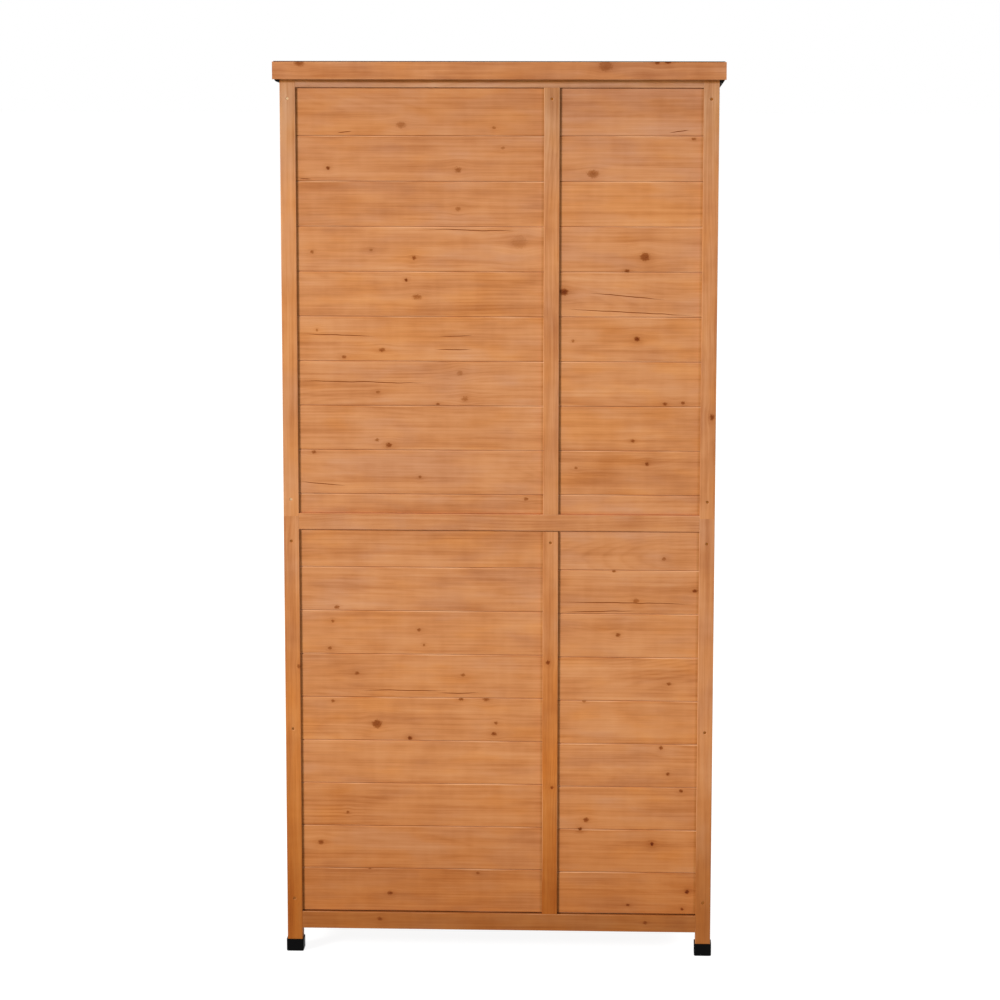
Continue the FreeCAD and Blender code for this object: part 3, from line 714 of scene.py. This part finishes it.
# Each board or bar is cut from its own place in a log: metres along it, across it and from its heart
LOG_ALONG = 6.0
LOG_ACROSS = 0.045
LOG_DEPTHS = (0.02, 0.09)
# Edges: how far those of bars are rounded, and how squarely a face lies that isn't an edge with wear and a
# painted highlight
FRAME_EDGE = 0.9 * MM
CHAMFER_SLANT = 0.95
# Knots and cracks that the photograph doesn't show. A bar's width against a wide board's adds to what a
# narrow one gets
KNOTS_PER_METRE = 6
WIDE_BOARD = 0.08
NARROW_KNOTS = 0.35
NARROW_RADIUS = 0.5
KNOT_RADII = (3.0, 3.5, 4.0, 5.0, 6.5)
KNOT_DARKNESS = (0.4, 1.0)
CRACK_CHANCE = 0.35
CRACK_LENGTHS = (0.06, 0.2)
CRACK_SLOPES = (-0.02, 0.02)
# How lightness, rosiness and the strength of the growth rings differ from board to board
TONE_SPANS = ((-0.07, 0.07), (-0.25, 0.25), (0.2, 1.0))
# Lightness of the fascias, and how much second coat bars got: on the left and right piece, or by chance
LIGHTNESS = {"roof_fascia_back": -0.14, "roof_fascia_front": -0.14}
COAT = {"lower_posts_back": (1.0, 0.35), "back_strip_lower": (1.0, 1.0)}
BAR_COATS = (0.0, 0.7)
BOARD_COAT = 0.2
# What bars hold in place of the distances from their ends, so that no painted shade is laid there
FAR_FROM_ENDS = (1, 1, 0)
back_knots = [(place_on_back(across, down), radius, dark) for across, down, radius, dark in BACK_KNOTS]
back_cracks = [(place_on_back(x0, y0), place_on_back(x1, y1)) for x0, y0, x1, y1 in BACK_CRACKS]


def grow_wood(solid, chance, lightness, coat, is_board):
    """Gives one solid its place in the log, its tone, and its knots and cracks, as layers."""
    low, high = box_of(solid)
    sizes = high - low
    along, across, depth = sorted(range(3), key=lambda axis: -sizes[axis])
    middle = (low + high) / 2
    shift = Vector((chance.uniform(-LOG_ALONG, LOG_ALONG), chance.uniform(-LOG_ACROSS, LOG_ACROSS),
                    chance.uniform(*LOG_DEPTHS) * chance.choice((-1, 1))))

    def in_log(point):
        return Vector((point[along], point[across] - middle[across], point[depth] - middle[depth])) + shift

    def holds(point):
        return all(low[axis] <= point[axis] <= high[axis] for axis in (0, 2))

    def anywhere():
        return in_log(Vector([chance.uniform(low[axis], high[axis]) for axis in range(3)]))

    knots = []
    cracks = []
    if high.y > back_boards_face - MM:
        for place, radius, dark in back_knots:
            if holds(place):
                spot = in_log(place)
                knots.append((spot.x, spot.y, radius * MM, dark))
        for start, end in back_cracks:
            if holds((start + end) / 2):
                first, last = in_log(start), in_log(end)
                run = last - first
                half_length = abs(run.x) / 2
                cracks.append(((first.x + last.x) / 2, (first.y + last.y) / 2, half_length, run.y / run.x))
    else:
        width = sizes[across] / WIDE_BOARD
        count = int(chance.random() * KNOTS_PER_METRE * sizes[along] * (NARROW_KNOTS + width))
        for _ in range(min(KNOT_PLACES, count)):
            spot = anywhere()
            radius = chance.choice(KNOT_RADII) * min(1.0, NARROW_RADIUS + width)
            knots.append((spot.x, spot.y, radius * MM, chance.uniform(*KNOT_DARKNESS)))
        if chance.random() < CRACK_CHANCE:
            spot = anywhere()
            half_length = sizes[along] * chance.uniform(*CRACK_LENGTHS)
            cracks.append((spot.x, spot.y, half_length, chance.uniform(*CRACK_SLOPES)))

    tone = Vector([chance.uniform(*span) for span in TONE_SPANS])
    tone.x += lightness
    grain_layer = solid.verts.layers.float_vector.new("grain")
    tone_layer = solid.verts.layers.float_vector.new("tone")
    coat_layer = solid.verts.layers.float.new("coat")
    skin_layer = solid.verts.layers.float.new("skin")
    ends_layer = solid.verts.layers.float_vector.new("ends")
    worn_and_lit_layer = solid.loops.layers.float.new("worn")
    flaws = []
    for kind, found, count in (("knot", knots, KNOT_PLACES), ("crack", cracks, CRACK_PLACES)):
        for index in range(count):
            layer = solid.verts.layers.float_color.new("%s_%d" % (kind, index))
            flaws.append((layer, found[index] if index < len(found) else NO_FLAW))
    for vert in solid.verts:
        vert[grain_layer] = in_log(vert.co)
        vert[tone_layer] = tone
        vert[coat_layer] = coat
        vert[skin_layer] = (vert.co[depth] - middle[depth]) / (sizes[depth] / 2)
        if is_board:
            vert[ends_layer] = (vert.co[along] - low[along], high[along] - vert.co[along], 0)
        else:
            vert[ends_layer] = FAR_FROM_ENDS
        for layer, value in flaws:
            vert[layer] = value
    # Slanted faces, the eased edges and chamfers, get wear and a painted highlight
    for face in solid.faces:
        if max(abs(part) for part in face.normal) < CHAMFER_SLANT:
            for loop in face.loops:
                loop[worn_and_lit_layer] = 1.0


def coat_of(node, index, is_left):
    """How much second coat one bar or board got. Left and right are as the photograph shows them."""
    if slot_of[node] == "stained_boards":
        return BOARD_COAT
    if node in COAT:
        return COAT[node][0 if is_left else 1]
    return random.Random(node + str(index)).uniform(*BAR_COATS)


def make_wood(node, screws):
    """Stands a copy of a wooden node in its place, under its stain, its bars' edges eased and its pockets
    cut.
    """
    chance = random.Random(node)
    finished = []
    for index, solid in enumerate(solids_of(node)):
        low, high = box_of(solid)
        sizes = high - low
        if slot_of[node] == "stained_frame":
            ease_edges(solid, FRAME_EDGE, 2, axis=max(range(3), key=lambda axis: sizes[axis]))
        holes = [pocket(place, OUT_OF_BACK) for place in screws if low.x < place.x < high.x]
        if holes:
            solid = cut_away(solid, holes)
        coat = coat_of(node, index, low.x + high.x > 0)
        grow_wood(solid, chance, LIGHTNESS.get(node, 0.0), coat, slot_of[node] == "stained_boards")
        finished.append(solid)
    add_piece("finished_" + node, join(finished), body_of[node], slot_of[node], node)


def screw_rows():
    """Places of the wood screws on the back, for each node that holds some."""
    post_x = post_outer_x - post_size / 2
    rows = {}
    for node, heights in (("lower_posts_back", LOWER_POST_SCREWS), ("upper_posts_back", UPPER_POST_SCREWS)):
        rows[node] = [Vector((x, back_face, z)) for x in (-post_x, post_x) for z in heights]
    for level, height in STRIP_SCREWS.items():
        low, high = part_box("back_strip_" + level)
        rows["back_strip_" + level] = [Vector(((low.x + high.x) / 2, high.y, height))]
    return rows


# The felt: how far its folds are rounded, and how it laps over the ends of the edge battens
FELT_FOLD = 0.5 * MM
FELT_FLAP_LAP = 1.0 * MM
FELT_FLAP_GAP = 0.15 * MM
FELT_FLAP_THICK = 0.9 * MM


def batten_flap(batten, facing, fascia_bottom):
    """Felt folded over the part of a batten's end that shows under the fascia."""
    end_y = max(vert.co.y * facing for vert in batten.verts) * facing
    flap = batten.copy()
    for place, normal in ((Vector((0, end_y - facing * FELT_FLAP_LAP, 0)), Vector((0, -facing, 0))),
                          (Vector((0, 0, fascia_bottom - FELT_FLAP_GAP)), Vector((0, 0, 1)))):
        parts = flap.verts[:] + flap.edges[:] + flap.faces[:]
        cut = bmesh.ops.bisect_plane(flap, geom=parts, plane_co=place, plane_no=normal, clear_outer=True)
        rim = [part for part in cut["geom_cut"] if isinstance(part, bmesh.types.BMEdge)]
        bmesh.ops.contextual_create(flap, geom=rim)
    outside = [vert for vert in flap.verts if abs(vert.co.y - end_y) < WELD]
    inside = [vert for vert in flap.verts if abs(vert.co.y - end_y) >= WELD]
    bmesh.ops.translate(flap, vec=(0, facing * FELT_FLAP_THICK, 0), verts=outside)
    bmesh.ops.translate(flap, vec=(0, facing * (FELT_FLAP_LAP + WELD), 0), verts=inside)
    bmesh.ops.recalc_face_normals(flap, faces=flap.faces)
    return flap


def make_felt():
    """The felt with its folded edges rounded, and its ends folded over the edge battens."""
    solids = solids_of("roof_felt")
    for solid in solids:
        ease_edges(solid, FELT_FOLD, 3)
    body = body_of["roof_felt"]
    add_piece("finished_roof_felt", join(solids), body, "roofing_felt", "roof_felt", rounded=True)
    flaps = []
    for side, facing in (("back", 1), ("front", -1)):
        fascia_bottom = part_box("roof_fascia_" + side)[0].z
        flaps += [batten_flap(batten, facing, fascia_bottom) for batten in solids_of("roof_edge_battens")]
    add_piece("felt_over_batten_ends", join(flaps), body, "roofing_felt")


# The foot caps: how far the foot is rounded, and how low an edge lies that belongs to it
CAP_ROUNDING = 2.6 * MM
CAP_FOOT = 0.1 * MM


def make_foot_caps():
    """Foot caps with a well rounded foot."""
    caps = []
    for solid in solids_of("foot_caps"):
        foot = [edge for edge in solid.edges if max(vert.co.z for vert in edge.verts) < CAP_FOOT]
        bmesh.ops.bevel(solid, geom=foot, offset=CAP_ROUNDING, offset_type="OFFSET", segments=4, profile=0.5,
                        affect="EDGES", material=-1, clamp_overlap=True)
        caps.append(solid)
    body = body_of["foot_caps"]
    add_piece("finished_foot_caps", join(caps), body, "black_plastic", "foot_caps", rounded=True)


# Pressed steel: how thick it is, how its edges are rounded, and where its screws stand
HINGE_LEAF_THICK = 1.5 * MM
BOLT_PLATE_THICK = 1.2 * MM
METAL_EDGE = 0.22 * MM
METAL_TURN = math.radians(60)
SCREW_PROUD = 0.3 * MM
HINGE_SCREW_INSET = 8.3 * MM
HINGE_SCREW_PITCH = 18 * MM
BOLT_SCREW_RISE = 11 * MM
BOLT_SCREW_INSET = 5 * MM


def plate_screw_places(node, low, high):
    """Where the screws go on one hinge leaf, bolt plate or keeper."""
    middle = (low + high) / 2
    if "hinge" in node:
        away_from_pin = 1 if (middle.x > 0) == (node == "hinge_leaves_on_posts") else -1
        far_x = high.x if away_from_pin > 0 else low.x
        x = far_x - away_from_pin * HINGE_SCREW_INSET
        return [(x, middle.z + step * HINGE_SCREW_PITCH) for step in (-1, 0, 1)]
    if node == "bolt_keepers":
        columns = (middle.x,)
    else:
        columns = (low.x + BOLT_SCREW_INSET, high.x - BOLT_SCREW_INSET)
    return [(x, middle.z + side * BOLT_SCREW_RISE) for x in columns for side in (-1, 1)]


def make_metal(node):
    """Pressed steel pieces with their cut edges slightly rounded, and their screws."""
    solids = solids_of(node)
    places = []
    for solid in solids:
        if not node.endswith("_bolt"):
            thick = HINGE_LEAF_THICK if "hinge" in node else BOLT_PLATE_THICK
            for x, z in plate_screw_places(node, *box_of(solid)):
                places.append(Vector((x, front_face - thick - SCREW_PROUD, z)))
        ease_edges(solid, METAL_EDGE, 2, least_turn=METAL_TURN)
    add_piece("finished_" + node, join(solids), body_of[node], "zinc_steel", node, rounded=True)
    if places:
        add_screws("screws_in_" + node, body_of[node], places, OUT_OF_FRONT, PLATE_SCREW, "zinc_steel")


def add_back_screws(node, places):
    """The screws in one back node. Only those of the upper post on the photograph's left get the plate with
    a painted glint; the rest get it with painted shade.
    """
    sunk = [place - OUT_OF_BACK * SCREW_SINK for place in places]
    # The screws on the lamp's side get the plate with a painted glint, the rest the plate with painted shade
    clean = [place for place in sunk if node == "upper_posts_back" and place.x > 0]
    stained = [place for place in sunk if place not in clean]
    for state, group in (("clean", clean), ("stained", stained)):
        if group:
            name = "%s_screws_in_%s" % (state, node)
            add_screws(name, body_of[node], group, OUT_OF_BACK, WOOD_SCREW, state + "_yellow_plate")


set_camera()
back_screws = screw_rows()
for node, slot in slot_of.items():
    if slot in ("stained_frame", "stained_boards"):
        make_wood(node, back_screws.get(node, ()))
    elif slot == "zinc_steel":
        make_metal(node)
for node, places in back_screws.items():
    add_back_screws(node, places)
make_felt()
make_foot_caps()


# Light from all round, and the floor: how far it reaches, how it glows, how much of the lamps' light shows
# on it, which carries the shadow, and the grey that lights the cabinet from below
WHITE = (1.0, 1.0, 1.0, 1.0)
FILL = 0.40
FLOOR_REACH = 60.0
FLOOR_GLOW = 0.92
FLOOR_SHADOW_SHARE = 0.22
FLOOR_GREY = 0.35
# Lamps, in metres and watts. A second key lamp stands opposite the first and lights the doors
KEY_PLACE = (9.8, 10.3, 6.2)
KEY_AIM = (0.0, 0.2, 0.9)
KEY_SIZE = 3.0
KEY_POWER = 1830.0
TOP_PLACE = (0.0, 0.0, 4.4)
TOP_AIM = (0.0, 0.0, 0.0)
TOP_SIZE = 2.4
TOP_POWER = 40.0


def sees_background(finish):
    """1 for rays from the camera, and for those that metal mirrors or glass passes."""
    path = finish.tree.nodes.new("ShaderNodeLightPath")
    seen = Value(finish, path.outputs["Is Camera Ray"])
    for name in ("Is Glossy Ray", "Is Transmission Ray"):
        seen = seen.largest(Value(finish, path.outputs[name]))
    return seen


def make_floor():
    """A white floor that keeps the cabinet's soft shadow."""
    bed = bmesh.new()
    bmesh.ops.create_grid(bed, x_segments=1, y_segments=1, size=FLOOR_REACH)
    floor = to_object(bed, "floor")
    bpy.context.scene.collection.objects.link(floor)
    finish = Finish("studio_floor")
    finish.shader.inputs["Base Color"].default_value = (FLOOR_GREY, FLOOR_GREY, FLOOR_GREY, 1.0)
    finish.shader.inputs["Roughness"].default_value = 0.9
    finish.shader.inputs["Specular IOR Level"].default_value = 0.0
    glow = finish.node("ShaderNodeEmission", {}, {"Color": WHITE, "Strength": FLOOR_GLOW})
    grey = (FLOOR_SHADOW_SHARE, FLOOR_SHADOW_SHARE, FLOOR_SHADOW_SHARE, 1.0)
    lit = finish.node("ShaderNodeBsdfDiffuse", {}, {"Color": grey})
    shown = finish.node("ShaderNodeAddShader", {}, {0: glow, 1: lit})
    plain = Value(finish, finish.shader.outputs[0])
    mixed = finish.node("ShaderNodeMixShader", {}, {0: sees_background(finish), 1: plain, 2: shown})
    finish.tree.links.new(mixed.socket, finish.tree.nodes["Material Output"].inputs["Surface"])
    floor.data.materials.append(finish.material)


class Surroundings(Finish):
    """The world's nodes, built the way a finish is."""

    def __init__(self):
        self.world = bpy.data.worlds.new("studio")
        self.world.use_nodes = True
        self.tree = self.world.node_tree


def make_world():
    """Even white light from all round, and pure white where the camera looks past the floor."""
    around = Surroundings()
    background = around.tree.nodes["Background"]
    background.inputs["Color"].default_value = WHITE
    strength = sees_background(around) * (1.0 - FILL) + FILL
    around.tree.links.new(strength.socket, background.inputs["Strength"])
    bpy.context.scene.world = around.world


def add_softbox(name, place, target, size, power):
    """A square soft light that faces a target."""
    data = bpy.data.lights.new(name, "AREA")
    data.shape = "SQUARE"
    data.size = size
    data.energy = power
    light = bpy.data.objects.new(name, data)
    light.location = place
    light.rotation_euler = (Vector(target) - Vector(place)).to_track_quat("-Z", "Y").to_euler()
    bpy.context.scene.collection.objects.link(light)


def on_side(side, point):
    """A point behind the cabinet, or for a side of -1 the one opposite it, in front."""
    return (side * point[0], side * point[1], point[2])


make_floor()
make_world()
for name, side in (("key_behind", 1), ("key_front", -1)):
    add_softbox(name, on_side(side, KEY_PLACE), on_side(side, KEY_AIM), KEY_SIZE, KEY_POWER)
add_softbox("top_fill", TOP_PLACE, TOP_AIM, TOP_SIZE, TOP_POWER)

bpy.context.scene.view_settings.view_transform = "Standard"
